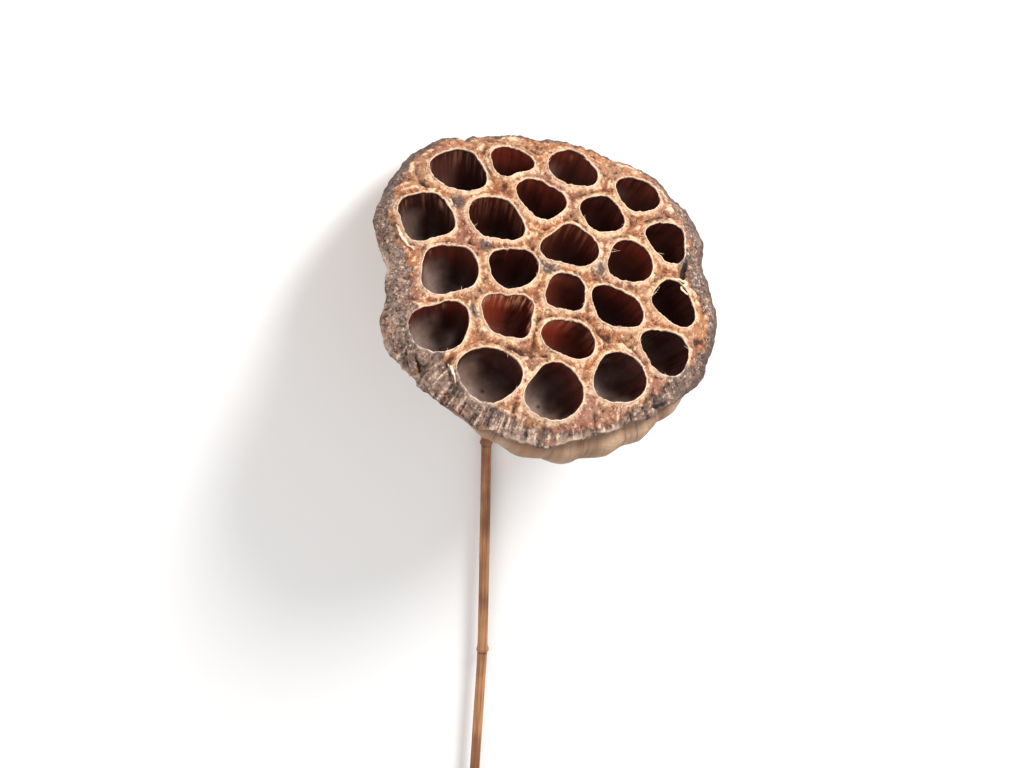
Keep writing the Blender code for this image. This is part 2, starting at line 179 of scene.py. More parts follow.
# Points and triangles of one closed surface, built from rings that run anticlockwise seen from the
# face. Each point also carries its place on the unrolled skin, in mm, and the marks that its finish
# reads.
class Shell:
    def __init__(self):
        self.points, self.skins, self.faces, self.marks, self.count = [], [], [], [], 0

    def add(self, points, skin=(0.0, 0.0, 0.0), **marks):
        index = np.arange(self.count, self.count + points[..., 0].size).reshape(points.shape[:-1])
        self.count += index.size
        self.points.append(points.reshape(-1, 3))
        self.skins.append(np.broadcast_to(skin, points.shape).reshape(-1, 3))
        spread = {name: np.broadcast_to(value, index.shape).ravel() for name, value in marks.items()}
        self.marks.append(spread)
        return index

    def triangles(self, a, b, c):
        self.faces.append(np.stack([a.ravel(), b.ravel(), c.ravel()], axis=1))

    # Band between rings, or between all neighbouring rings of a grid; along the last axis they close.
    def band(self, inner, outer):
        nextInner, nextOuter = np.roll(inner, -1, axis=-1), np.roll(outer, -1, axis=-1)
        self.triangles(inner, outer, nextOuter)
        self.triangles(inner, nextOuter, nextInner)

    # Band to a ring of half as many points.
    def halve(self, inner, outer):
        start, middle, end = inner[::2], inner[1::2], np.roll(inner[::2], -1)
        nextOuter = np.roll(outer, -1)
        self.triangles(start, outer, middle)
        self.triangles(middle, outer, nextOuter)
        self.triangles(middle, nextOuter, end)

    def chain(self, rings):
        for inner, outer in zip(rings, rings[1:]):
            if len(outer) == len(inner):
                self.band(inner, outer)
            else:
                self.halve(inner, outer)

    # Closes a ring with a fan round one more point, before the first ring of a surface or after the
    # last.
    def cap(self, ring, point, skin=(0.0, 0.0, 0.0), last=False, **marks):
        point = np.expand_dims(point, -2)
        middle = np.broadcast_to(self.add(point, skin, **marks), ring.shape)
        after = np.roll(ring, -1, axis=-1)
        first, second = (ring, middle) if last else (middle, ring)
        self.triangles(first, second, after)

    def mark(self, name):
        return np.concatenate([m.get(name, np.zeros(len(p))) for m, p in zip(self.marks, self.points)])


def addObject(name, data):
    made = bpy.data.objects.new(name, data)
    bpy.context.scene.collection.objects.link(made)
    return made


# Makes the object of a shell, which stands for a node of the frame.
def makePiece(name, shell, finish, node):
    mesh = bpy.data.meshes.new(name)
    points = np.concatenate(shell.points)
    mesh.from_pydata(toWorld(points).tolist(), [], np.concatenate(shell.faces).tolist())
    mesh.shade_smooth()
    for mark in sorted({mark for marks in shell.marks for mark in marks}):
        mesh.attributes.new(mark, "FLOAT", "POINT").data.foreach_set("value", shell.mark(mark))
    skin = np.concatenate(shell.skins).ravel()
    mesh.attributes.new("grain", "FLOAT_VECTOR", "POINT").data.foreach_set("vector", skin)
    mesh.materials.append(finish)
    made = addObject(name, mesh)
    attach(made, "root")
    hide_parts(node)
    print(name, len(mesh.vertices), "points", len(mesh.polygons), "triangles")


pod = {
    "depth": 56.0,  # from the top of the face to where the bowl would close
    "radius": 50.6,
    "dome": 2.5,
    "rimBand": 6.5,
    "rimDrop": 4.2,
    "rimRoll": 1.7,
    "rimInset": 1.6,
    "rimWaves": ((17, 0.35), (29, 0.22)),
    "rimTears": (  # angle, depth, half width
        (218.5, 3.6, 1.7), (113.0, 1.3, 2.0), (311.0, 0.9, 1.3), (71.0, 0.6, 1.2),
    ),
    "rimRagged": ((2.3, 0.28), (1.0, 0.16)),  # size of the pleats at the edge, and how far they reach
    "valley": 0.8,
    "valleyWidth": 2.6,
    "hollow": 0.9,  # how much deeper the face sinks where three lips meet
    "hollowFrom": (1.7, 3.6),
    "hollowInside": (3.0, 8.0),
    "crease": 0.4,  # depth of the crease halfway between two cells
    "creaseWidth": 0.8,
    "creaseFrom": (0.9, 1.9),
    "wrinkles": 0.34,  # heights of the small forms of the face
    "wrinkleReach": 2.2,  # how soon the wrinkles across a lip fade away from it
    "folds": 0.46,
    "foldsFrom": (0.5, 1.8),
    "pleats": 0.52,
    "pleatSizes": ((1.7, 1.0), (0.8, 0.75)),
    "pillows": 0.62,
    "crumples": 0.3,
    "lipSkin": 0.45,  # how soon the skin round one cell gives way to the next cell's
    "farGap": 6.0,  # distance from a lip that counts as far
    "litEdgeSide": 236.0,  # side where the very edge of the rim gets a painted highlight; it gets painted shade on the other side
    "pleatedSide": 262.0,
    "hem": (1.15, 2.1),  # width of the edge's painted colour where it gets painted highlight, and how much wider its painted shade is elsewhere
    "columns": 480,
    "faceStep": 0.46,
    "faceStretch": 1.15,  # its rows stand this much further apart than those of an even pattern
    "faceSpare": 4.0,
    "faceJitter": 0.25,
    "keepOff": 0.45,
    "edgeRows": (1.15, 0.75, 0.4, 0.15, 0.0),  # rings up to the edge, by their distance from it
    "underRows": (  # rings of the crease under the edge: inward from it, and below it
        (-0.08, 0.3), (0.02, 0.62), (0.3, 0.9), (0.7, 1.15), (1.15, 1.5), (1.6, 2.0), (1.95, 2.6),
        (2.05, 3.3),
    ),
    "bulge": (60.0, 0.8, 24.0),  # angle, height, half width
    "evensOut": (7.0, 22.0),  # from and to, below the face, as for all such pairs of the wall
    "ribs": 24,
    "ribHeight": 0.5,
    "ribWander": ((2, 12.0), (5, 9.0)),
    "ribsRise": (9.0, 19.0),
    "ribsFade": (36.0, 54.0),
    "wallLines": ((3.1, 0.24), (1.5, 0.15), (0.8, 0.09)),  # size and height
    "wallDents": (15.0, 0.5),
    "wallFrom": 11.0,
    "wallStep": 0.92,
    "wallGap": 0.7,  # between the last ring of the crease and the first of the wall
    "wallSettles": (10.0, 15.5),  # where the wall takes over from the crease
    # Where the painted shadow under the rim fades out down the wall.
    "underShadeFades": (10.0, 14.0),
    "fewestSides": 60,
    "finestSide": 0.36,  # where a ring's sides would be shorter it has half as many
    "neckTop": 53.0,
    "neckEnd": 63.0,
    "neckRadii": (4.0, 2.7),
    "neckBlend": 3.0,
    "neckShade": (50.0, 58.0),
    "socket": ((2.55, 63.1), (1.8, 62.9), (1.8, 58.0), (1.8, 54.5)),  # radius and depth of its rings
}

# Edge of the rim: angle from the right, anticlockwise, and distance from the middle
rimEdge = (
    (2, 49.6), (13, 48.2), (22, 52.0), (36, 51.9), (45, 52.8), (59, 50.5), (73, 49.9), (92, 49.4),
    (103, 50.7), (111, 51.8), (117, 53.2), (128, 54.6), (138, 53.2), (152, 52.2), (162, 49.6),
    (176, 45.0), (187, 45.9), (196, 49.3), (204, 50.5), (220, 49.7), (238, 49.0), (259, 49.4),
    (270, 49.1), (283, 46.7), (297, 46.5), (311, 47.7), (321, 49.5), (335, 50.8), (350, 50.3),
)

# Width of the grey pleated band along the rim, by angle
bandWidths = (
    (0, 6.4), (18, 7.2), (31, 5.0), (46, 2.4), (90, 2.0), (125, 1.8), (150, 3.4), (180, 6.6), (220, 8.6),
    (245, 6.0), (265, 3.4), (282, 1.8), (300, 2.0), (318, 4.6), (327, 5.4), (338, 3.4), (348, 3.6),
)

# Cracks and deep creases of the face: from, to, half width, depth
cracks = (
    ((-39.2, -24.0), (-36.9, -30.5), 0.5, 1.7), ((41.1, 9.8), (39.2, 2.6), 0.75, 1.9),
    ((-35.3, 36.0), (-35.2, 31.5), 0.6, 0.8), ((-35.2, 31.5), (-32.0, 27.3), 0.6, 1.0),
    ((27.5, -36.5), (34.0, -33.0), 0.6, 1.2), ((31.6, -32.6), (32.6, -28.8), 0.5, 1.0),
    ((-42.0, 13.0), (-38.5, 7.0), 0.4, 0.6), ((-30.3, -27.8), (-29.3, -33.8), 0.45, 0.8),
    ((-8.0, 43.5), (-12.0, 46.5), 0.5, 0.7), ((20.0, 37.0), (27.0, 38.0), 0.5, 0.6),
)

# Grey dusty patches between the cells: middle, radius
ashes = (
    (0.3, 4.5, 3.4), (-24.8, 23.4, 2.4), (-21.6, -11.7, 2.2), (15.2, 5.2, 2.8), (24.6, -9.7, 2.8),
    (-17.1, 10.1, 2.0), (44.5, 5.5, 3.4),
)

# How round the bowl is, by angle: 1 is a cone, 3 a deep round bowl
bowlPowers = (
    (0, 2.4), (60, 2.5), (90, 2.5), (120, 2.4), (150, 2.0), (180, 1.4), (215, 1.4), (245, 1.9),
    (265, 2.5), (285, 2.8), (330, 2.6),
)

# Seed cells: place of the middle, length, width, turn of the long way, then how three-cornered and
# how four-cornered the mouth is, each with the angle of one corner
cells = np.array((
    (-23.5, 33.5, 16.0, 13.5, 165, 0.055, 70, 0.030, 65),
    (-8.5, 37.5, 12.5, 9.5, 5, 0.115, 0, 0.050, 70),
    (9.5, 36.5, 14.5, 11.5, 155, 0.045, 85, 0.020, 70),
    (28.0, 29.5, 13.0, 11.0, 155, 0.045, 10, 0.030, 60),
    (-34.1, 17.8, 16.0, 15.7, 30, 0.040, 115, 0.065, 62),
    (-14.0, 18.0, 16.5, 13.5, 150, 0.035, 85, 0.040, 55),
    (-0.5, 25.5, 15.0, 11.5, 145, 0.075, 15, 0.040, 0),
    (17.0, 22.0, 13.0, 11.5, 145, 0.015, 70, 0.045, 70),
    (7.0, 10.5, 16.5, 13.0, 5, 0.100, 80, 0.045, 10),
    (24.0, 7.0, 14.0, 13.0, 60, 0.055, 95, 0.025, 30),
    (35.5, 15.0, 13.5, 11.0, 110, 0.100, 45, 0.020, 50),
    (-28.6, 0.9, 17.7, 15.1, 33, 0.050, 113, 0.050, 47),
    (-10.2, 2.3, 14.7, 12.7, 20, 0.055, 22, 0.030, 54),
    (4.5, -4.5, 12.5, 11.5, 60, 0.045, 80, 0.055, 35),
    (-32.2, -17.2, 18.4, 14.7, 31, 0.065, 46, 0.030, 54),
    (-12.5, -12.7, 15.2, 14.2, 168, 0.080, 38, 0.070, 42),
    (19.0, -8.0, 16.0, 12.0, 150, 0.065, 0, 0.035, 45),
    (36.0, -5.0, 15.0, 11.5, 115, 0.085, 70, 0.015, 0),
    (4.5, -19.0, 16.0, 11.5, 165, 0.040, 55, 0.020, 35),
    (32.5, -20.5, 15.0, 13.0, 130, 0.085, 30, 0.010, 60),
    (-18.8, -31.3, 18.2, 16.4, 0, 0.045, 25, 0.020, 85),
    (18.5, -30.0, 16.5, 14.5, 45, 0.060, 100, 0.015, 35),
    (-0.5, -35.8, 18.4, 15.5, 54, 0.050, 86, 0.025, 6),
))

cellLook = {
    "sides": 72,
    "lean": 0.4,
    "depth": (7.5, 0.6),  # least, and how much more for each mm of the mouth's width
    "wobble": ((3.0, 0.15), (0.9, 0.05)),  # size and reach of the mouth's small waves
    "floorWidths": (0.1, 0.76, 6),  # first, last and number of rings
    "wallShares": (0.74, 0.03, 13),
    "boxiness": 3.3,
    "flute": 0.26,  # height of the folds down the wall
    "fluteSize": 1.35,
    "fluteStretch": 0.09,
    "fluteTop": 0.06,
    "dents": (6.0, 0.4),  # size and reach
    "strongFlutes": {15: 0.95, 8: 0.36, 5: 0.34, 18: 0.36, 0: 0.34, 4: 0.34},  # by cell, counted from 0
    # Strength of the painted sheen and light on the pit floors, by cell
    "sheens": {4: 0.28, 11: 0.58, 14: 0.6, 20: 1.05, 21: 0.8, 22: 0.82, 2: 0.55, 3: 0.5, 19: 0.45, 0: 0.1},
    # Strength, by cell, of the reddish wall near the mouth painted brighter on one side, as painted light.
    "rustLights": {15: 1.1, 18: 1.15, 13: 0.75, 9: 0.1, 8: 0.05, 0: 0.1},
    "darker": {0: 0.35, 4: 0.7, 5: -0.1},
    "sheenFrom": 212.0,  # side of the pits where their floors get painted sheen and light
    # Side of the pit walls where the reddish colour is painted brighter, as painted light.
    "rustLightFrom": 185.0,
    "lipLitSide": 305.0,  # side of the lips that gets the most painted light; the far side is dimmer, as painted shade
    "nub": 0.12,  # height and half width of the scar in the middle of the floor
    "nubWidth": 0.17,
    "lipRows": (  # offset from the mouth, rise, how pale, how dark as the pit
        (-0.04, 0.16, 0.0, 1.0), (-0.02, 0.4, 0.7, 0.1), (0.05, 0.68, 1.0, 0.0), (0.16, 0.86, 1.0, 0.0),
        (0.28, 0.74, 0.85, 0.0), (0.4, 0.36, 0.5, 0.0), (0.58, 0.0, 0.12, 0.0),
    ),
    "lipRagged": 0.45,
    "lipWaves": ((2.1, 1.0), (0.8, 0.7)),
    "lipRange": (0.25, 1.6),  # least and most that a lip's rise is changed to
    "collar": 0.58,  # how far out the foot of the lip is
}


# One number for each cell, shaped for rings of points: the one named for it, or the usual one.
def byCell(named, usual=0.0):
    return np.array([named.get(cell, usual) for cell in range(len(cells))])[:, None, None]


# How much painted highlight the very edge of the rim gets, by angle: 1 on one side, 0 on the other, where it
# gets painted shade.
def edgeLitShare(angle):
    return ease(-0.1, 0.6, facing(angle, pod["litEdgeSide"]))


# Ragged edge of the rim: the closed curve, waves round it, pleats, and V-shaped tears.
def rimRadius(angle):
    way = np.radians(angle)
    radius = closedCurve(rimEdge, angle)
    for count, height in pod["rimWaves"]:
        radius = radius + height * np.sin(count * way + count)
    radius = radius + grains(around(pod["radius"], angle), pod["rimRagged"], 1)
    for middle, depth, half in pod["rimTears"]:
        radius = radius - depth * np.clip(1.0 - np.abs(turnBetween(angle, middle)) / half, 0.0, 1.0)
    return radius


# Mouths of all cells, one row of angles each: an ellipse times 1 + a third and a fourth harmonic,
# with small waves of noise. Gives the radius and the point of the mouth.
def mouths(angle):
    x, y, length, width, turn, three, threeAt, four, fourAt = cells.T[:, :, None]
    way = np.radians(angle)
    long = way - np.radians(turn)
    radius = length * width / 2.0 / np.hypot(width * np.cos(long), length * np.sin(long))
    corners = 1.0 + three * np.cos(3.0 * (way - np.radians(threeAt)))
    radius = radius * (corners + four * np.cos(4.0 * (way - np.radians(fourAt))))
    radius = radius + grains(around(radius, angle, middle=(x, y)), cellLook["wobble"], 3)
    return radius, around(radius, angle, middle=(x, y))


# Depth of the cracks: along a straight line each is deepest in the middle, with a bell curve across.
def crackDepth(flat):
    x, y = flat[:, 0], flat[:, 1]
    crack = np.zeros(len(flat))
    for start, end, half, depth in cracks:
        run = np.subtract(end, start)
        along = np.clip(((x - start[0]) * run[0] + (y - start[1]) * run[1]) / (run @ run), 0.0, 1.0)
        off = np.hypot(x - start[0] - along * run[0], y - start[1] - along * run[1])
        off = off + 0.25 * grain(flat, 1.8, 34)
        fading = np.sqrt(np.maximum(np.sin(np.pi * along), 0.1))
        crack = np.maximum(crack, depth * bell(off, half) * fading)
    return crack


# Height of the face and what its finish reads: a low dome, rolled down at the rim and sunk between
# the lips. On it lie creases halfway between two cells, wrinkles across the lips and folds along
# them, pleats across the rim's band, pillows between wandering creases, and small crumples.
def faceSkin(points):
    p = pod
    x, y = points[..., 0].ravel(), points[..., 1].ravel()
    radius, angle = np.hypot(x, y), np.degrees(np.arctan2(y, x))
    rim = rimRadius(angle)
    inward = rim - radius
    awayX, awayY = x - cells[:, :1], y - cells[:, 1:2]
    reach, edges = mouths(np.degrees(np.arctan2(awayY, awayX)))
    gaps = np.hypot(awayX, awayY) - reach
    order = np.argsort(gaps, axis=0)[:2]
    gap, second = np.take_along_axis(gaps, order, axis=0)
    nearest = np.take_along_axis(edges, order[:1, :, None], axis=0)[0]
    flat = stack(x, y, 0.0)
    height = -p["dome"] * (radius / p["radius"]) ** 2
    height -= p["rimDrop"] * np.clip(1.0 - inward / p["rimBand"], 0.0, 1.0) ** p["rimRoll"]
    height -= p["valley"] * ease(cellLook["collar"], cellLook["collar"] + p["valleyWidth"], gap)
    sunken = ease(*p["hollowFrom"], gap) * ease(-0.25, 0.35, grain(flat, 9.0, 8))
    sunken = sunken * ease(*p["hollowInside"], inward)
    height -= p["hollow"] * sunken
    halfway = bell(second - gap + 0.9 * grain(flat, 2.6, 33), p["creaseWidth"])
    halfway = halfway * ease(*p["creaseFrom"], gap) * ease(-0.1, 0.5, grain(flat, 5.0, 31))

    share = np.exp(-np.maximum(gaps, 0.0) / p["lipSkin"])
    share /= share.sum(axis=0)
    across, alongLips = edges * (1.0, 1.0, 0.0), edges * (0.3, 0.3, 0.0)
    across[..., 2], alongLips[..., 2] = gaps * 0.2, gaps
    wrinkles = (share * (grain(across, 1.3, 9) + 0.6 * grain(across, 0.65, 28))).sum(axis=0)
    wrinkles = wrinkles * np.exp(-np.maximum(gap - 0.3, 0.0) / p["wrinkleReach"])
    folds = (share * grain(alongLips, 1.4, 29)).sum(axis=0) * ease(*p["foldsFrom"], gap)
    spoke = around(rim, angle, inward * 0.16)
    band = 1.0 - ease(0.6, 1.3, inward / closedCurve(bandWidths, angle) + 0.4 * grain(flat, 3.2, 30))
    # Share of painted highlight on the rim's very edge; the rest of the edge gets painted shade, on a wider
    # strip.
    pale = edgeLitShare(angle)
    drawn = ease(0.2, 0.9, facing(angle, p["pleatedSide"]))
    pleats = grains(spoke, p["pleatSizes"], 10) * band * (0.55 + 0.45 * drawn)
    edge = np.clip(1.0 - inward / (p["hem"][0] + p["hem"][1] * (1.0 - pale)), 0.0, 1.0)
    pillows = np.abs(grain(flat, 3.2, 12)) + 0.6 * np.abs(grain(flat, 1.5, 13)) - 0.45
    crumples = grain(flat, 0.95, 14)
    crack = crackDepth(flat)
    ash = sum(np.exp(-(((x - a) ** 2 + (y - b) ** 2) / size**2)) for a, b, size in ashes)
    away = 0.3 + 0.7 * ease(cellLook["collar"] - 0.4, cellLook["collar"] + 1.4, gap)
    relief = p["wrinkles"] * wrinkles + p["folds"] * folds + p["pleats"] * pleats
    relief = relief + (p["pillows"] * pillows + p["crumples"] * crumples) * away
    relief = relief - p["crease"] * halfway
    marks = {
        "skin": np.where(band[..., None] > 0.5, spoke, nearest + stack(0.0, 0.0, gap * 0.22)),
        "relief": relief, "pleat": pleats, "rim": band, "gap": np.minimum(gap, p["farGap"]),
        "crease": 0.6 * halfway + 0.7 * sunken, "crack": crack, "ash": ash, "edge": edge, "pale": pale,
        "drawn": drawn,
    }
    shape = points.shape[:-1]
    marks = {name: value.reshape(*shape, *value.shape[1:]) for name, value in marks.items()}
    return (height + relief - crack).reshape(shape), marks


# Pits of all cells at once, from the middle of the floor up to the foot of the lip. Where share is
# the way down to the floor, a pit is sqrt(1 - share^3.3) times as wide as its mouth, and the pits
# lean in a little. Folds run down the wall.
def cellPits(shell):
    c = cellLook
    angle = np.broadcast_to(ringAngles(c["sides"]), (len(cells), c["sides"]))
    mouth, edges = mouths(angle)
    top = faceSkin(edges)[0]
    depth = c["depth"][0] + c["depth"][1] * np.sqrt(cells[:, 2] * cells[:, 3])
    floor = top.mean(axis=1) - depth
    lean = c["lean"] / pod["radius"] * depth
    floorWidths, wallShares = np.linspace(*c["floorWidths"]), np.linspace(*c["wallShares"])
    shares = np.concatenate([(1.0 - floorWidths**2) ** (1.0 / c["boxiness"]), wallShares])
    widths = np.concatenate([floorWidths, np.sqrt(1.0 - wallShares ** c["boxiness"])])
    share, width = shares[None, :, None], widths[None, :, None]
    flute = byCell(c["strongFlutes"], c["flute"])
    middles = cells[:, :2] @ np.eye(2, 3)
    spread = width + (1.0 - width) * ease(0.4, 0.9, width)
    skin = middles[:, None, None] + spread[..., None] * (edges - middles[:, None])[:, None]
    skin[..., 2] = -share * depth[:, None, None]
    folded = skin * (1.0, 1.0, c["fluteStretch"])
    folds = grain(folded, c["fluteSize"], 15) + 0.5 * grain(folded, c["fluteSize"] / 2.2, 16)
    folds = folds * ease(0.0, 0.5, width) * (1.0 - ease(0.1, 0.85, share)) * ease(0.0, c["fluteTop"], share)
    dents = c["dents"][1] * grain(skin, c["dents"][0], 17) * ease(0.0, 0.3, share) * width
    reach = width * mouth[:, None] + flute * folds + dents
    leaning = 1.0 - lean[:, None, None] * share
    z = top[:, None] + (floor[:, None] - top)[:, None] * share
    z = z + c["nub"] * bell(width, c["nubWidth"])
    z = z + 0.12 * grain(skin * (1, 1, 0), 3.0, 18) * ease(0.7, 1.0, share)
    points = around(reach, angle[:, None], z, (cells[:, :1, None] * leaning, cells[:, 1:2, None] * leaning))
    # Painted sheen and light on one side of each pit's floor.
    sheenSide = facing(angle, c["sheenFrom"])[:, None] * width + 0.3 * grain(skin, 4.5, 32)
    # Reddish wall near the mouth, painted brighter on one side as painted light.
    rustLightSide = facing(angle, c["rustLightFrom"])[:, None] * width + 0.2 * grain(skin, 3.0, 35)
    rust = byCell(c["rustLights"]) * ease(-0.9, 0.5, rustLightSide)
    tone = grain(middles, 13.0, 19)[:, None, None] - byCell(c["darker"])
    marks = {
        "cellDepth": share, "pit": 1.0, "cellTone": tone, "relief": folds * flute,
        "grey": byCell(c["sheens"]) * ease(-0.7, 0.2, sheenSide) * ease(0.1, 0.65, share),
        "rust": rust * ease(1.5, 0.25, share) * (0.55 + 0.45 * ease(0.0, 0.25, share)),
        "streaky": np.clip((flute - c["flute"]) / 0.6, 0.0, 1.0),
    }
    index = shell.add(points, skin, **marks)
    centre = stack(cells[:, 0] * (1.0 - lean), cells[:, 1] * (1.0 - lean), floor + c["nub"])
    centreSkin = (middles - stack(0.0, 0.0, depth))[:, None]
    shell.cap(index[:, 0], centre, centreSkin, cellDepth=1.0, pit=1.0, cellTone=tone[:, 0])
    shell.band(index[:, :-1], index[:, 1:])
    return lipRings(shell, index[:, -1], angle, mouth, edges, tone[:, 0])


# Lips: each ring stands a little further out from the mouth, and its rise is ragged with noise.
def lipRings(shell, inner, angle, mouth, edges, tone):
    c = cellLook
    ragged = np.clip(1.0 + c["lipRagged"] * grains(edges, c["lipWaves"], 20), *c["lipRange"])
    # Painted light and shade round each mouth: the lip's pale colour is strongest on one side and dimmer on
    # the other.
    lipLit = 0.42 + 0.58 * ease(-0.8, 0.3, facing(angle, c["lipLitSide"]))
    for offset, rise, lip, pit in c["lipRows"]:
        points = around(mouth + offset, angle, middle=(cells[:, :1], cells[:, 1:2]))
        height, marks = faceSkin(points)
        points[..., 2] = height + rise * ragged
        ring = shell.add(points, lip=lip * lipLit, pit=pit, cellTone=tone, **marks)
        shell.band(inner, ring)
        inner = ring
    return inner


# Fills the face between the rim and the feet of the lips: hexagonal rows of points, moved a little
# at random, joined by a Delaunay triangulation that keeps to the rings.
def fillFace(shell, rimRing, feet):
    p = pod
    step = p["faceStep"]
    span = np.arange(-p["radius"] - p["faceSpare"], p["radius"] + p["faceSpare"], step)
    x, y = np.meshgrid(span, span * math.sqrt(0.75) * p["faceStretch"])
    x = x + np.where(np.arange(len(x)) % 2, step / 2.0, 0.0)[:, None]
    x = (x + draw.uniform(-1.0, 1.0, x.shape) * p["faceJitter"] * step).ravel()
    y = (y + draw.uniform(-1.0, 1.0, y.shape) * p["faceJitter"] * step).ravel()
    near = np.hypot(x, y) < rimRadius(np.degrees(np.arctan2(y, x))) - p["rimInset"] - p["keepOff"] * step
    points = stack(x, y, 0.0)[near]
    points[:, 2], marks = faceSkin(points)
    keep = marks["gap"] > cellLook["collar"] + p["keepOff"] * step
    filler = shell.add(points[keep], **{name: value[keep] for name, value in marks.items()})
    loops = [rimRing, *feet]
    used = np.concatenate([*loops, filler])
    flat = np.concatenate(shell.points)[used, :2]
    ends = np.cumsum([len(loop) for loop in loops])
    sides = [list(range(end - len(loop), end)) for end, loop in zip(ends, loops)]
    made = delaunay_2d_cdt([Vector(spot) for spot in flat.tolist()], [], sides, 0, 1e-7, True)
    source = np.array([ids[0] for ids in made[3]])
    faces = source[np.array([face for face, inside in zip(made[2], made[5]) if list(inside) == [0]])]
    a, b, c = flat[faces[:, 0]], flat[faces[:, 1]], flat[faces[:, 2]]
    turn = (b[:, 0] - a[:, 0]) * (c[:, 1] - a[:, 1]) - (b[:, 1] - a[:, 1]) * (c[:, 0] - a[:, 0])
    faces = np.where(turn[:, None] > 0.0, faces, faces[:, ::-1])
    shell.triangles(*used[faces].T)


# Outer wall: the rim's outline evens out to a circle with a bulge, times 1 - (down/depth)^power, run
# into the neck by a cubic mean, with 24 ribs that wander, and fine lines and dents over them.
def wallRadius(angle, down):
    p = pod
    way = np.radians(angle)
    evened = ease(*p["evensOut"], down)
    outline = closedCurve(rimEdge, angle) * (1.0 - evened) + p["radius"] * evened
    middle, height, half = p["bulge"]
    outline = outline + height * evened * bell(turnBetween(angle, middle), half)
    bowl = outline * np.clip(1.0 - (down / p["depth"]) ** closedCurve(bowlPowers, angle), 0.0, 1.0)
    neck = np.interp(down, (p["neckTop"], p["neckEnd"]), p["neckRadii"])
    form = (bowl ** p["neckBlend"] + neck ** p["neckBlend"]) ** (1.0 / p["neckBlend"])
    shown = ease(*p["ribsRise"], down) * (1.0 - ease(*p["ribsFade"], down))
    wander = sum(height * np.sin(count * (way - np.pi / 2.0)) for count, height in p["ribWander"])
    ribs = -p["ribHeight"] * shown * np.cos(p["ribs"] * (way - np.pi / 2.0) + np.radians(wander))
    skin = around(p["radius"], angle, down)
    drawn = skin * (1.0, 1.0, 0.06)
    lines = grains(drawn, p["wallLines"], 22) * np.clip(form / 30.0, 0.12, 1.0)
    dents = p["wallDents"][1] * grain(skin, p["wallDents"][0], 25) * np.clip(form / 40.0, 0.0, 1.0)
    return form + ribs + lines + dents, lines * 1.6 + 0.35 * ribs, skin


# Rows of the wall, an even step apart along the line of the bowl at 45 degrees.
def wallRows():
    down = np.linspace(pod["wallFrom"], pod["neckEnd"], 3000)
    radius = wallRadius(np.full(1, 45.0), down)[0]
    run = np.concatenate([[0.0], np.cumsum(np.hypot(np.diff(radius), np.diff(down)))])
    return np.interp(np.arange(0.0, run[-1], pod["wallStep"]), run, down)


# Ring on the face, some way in from the edge of the rim. Gives its point numbers and its heights.
def faceRing(shell, rim, angle, inward):
    points = around(rim - inward, angle)
    points[:, 2], marks = faceSkin(points)
    return shell.add(points, **marks), points[:, 2]


# Edge of the rim, the crease under it, the wall, the neck and the socket in it, ring by ring.
def rimAndWall(shell, rimRing, rim, angle):
    p = pod
    rings = [rimRing]
    for inward in p["edgeRows"]:
        ring, level = faceRing(shell, rim, angle, inward)
        rings.append(ring)
    # Share of painted highlight on the rim's edge, carried down the crease under it.
    pale = edgeLitShare(angle)
    for inward, below in p["underRows"]:
        wall, edge = ease(0.2, 2.2, below), float(below < 1.0)
        # under marks the crease rows that get painted shadow under the rim.
        marks = {"rim": 1.0 - wall, "wall": wall, "under": 1.0 - edge, "edge": edge, "pale": pale}
        skin = around(p["radius"], angle, 8.0 + below)
        points = around(rim - inward, angle, level - below)
        rings.append(shell.add(points, skin, gap=p["farGap"], **marks))
    last, lastDown = rim - inward, below - level
    for row in wallRows():
        sides = len(rings[-1])
        girth = 2.0 * math.pi * wallRadius(np.zeros(1), np.full(1, row))[0][0]
        if sides > p["fewestSides"] and girth / sides < p["finestSide"]:
            sides //= 2
        angle = ringAngles(sides)
        skip = p["columns"] // sides
        settle = ease(*p["wallSettles"], row)
        down = row + (lastDown[::skip] + p["wallGap"] - p["wallFrom"]) * (1.0 - settle)
        radius, relief, skin = wallRadius(angle, down)
        radius = last[::skip] * (1.0 - settle) + radius * settle
        # under is painted shadow under the rim, fading down the wall; neck is painted shade at the neck.
        marks = {"under": 1.0 - ease(*p["underShadeFades"], row), "neck": ease(*p["neckShade"], row)}
        rings.append(shell.add(around(radius, angle, -down), skin, wall=1.0, relief=relief, **marks))
    for radius, down in p["socket"]:
        rings.append(shell.add(around(radius, angle, -down), (0.0, 0.0, down), wall=1.0, neck=1.0))
    shell.chain(rings)
    shell.cap(rings[-1], (0.0, 0.0, -down), last=True, wall=1.0, neck=1.0)


def podShell():
    shell = Shell()
    feet = cellPits(shell)
    print("cells made")
    angle = ringAngles(pod["columns"])
    rim = rimRadius(angle)
    rimRing, _ = faceRing(shell, rim, angle, pod["rimInset"])
    fillFace(shell, rimRing, feet)
    print("face filled")
    rimAndWall(shell, rimRing, rim, angle)
    return shell


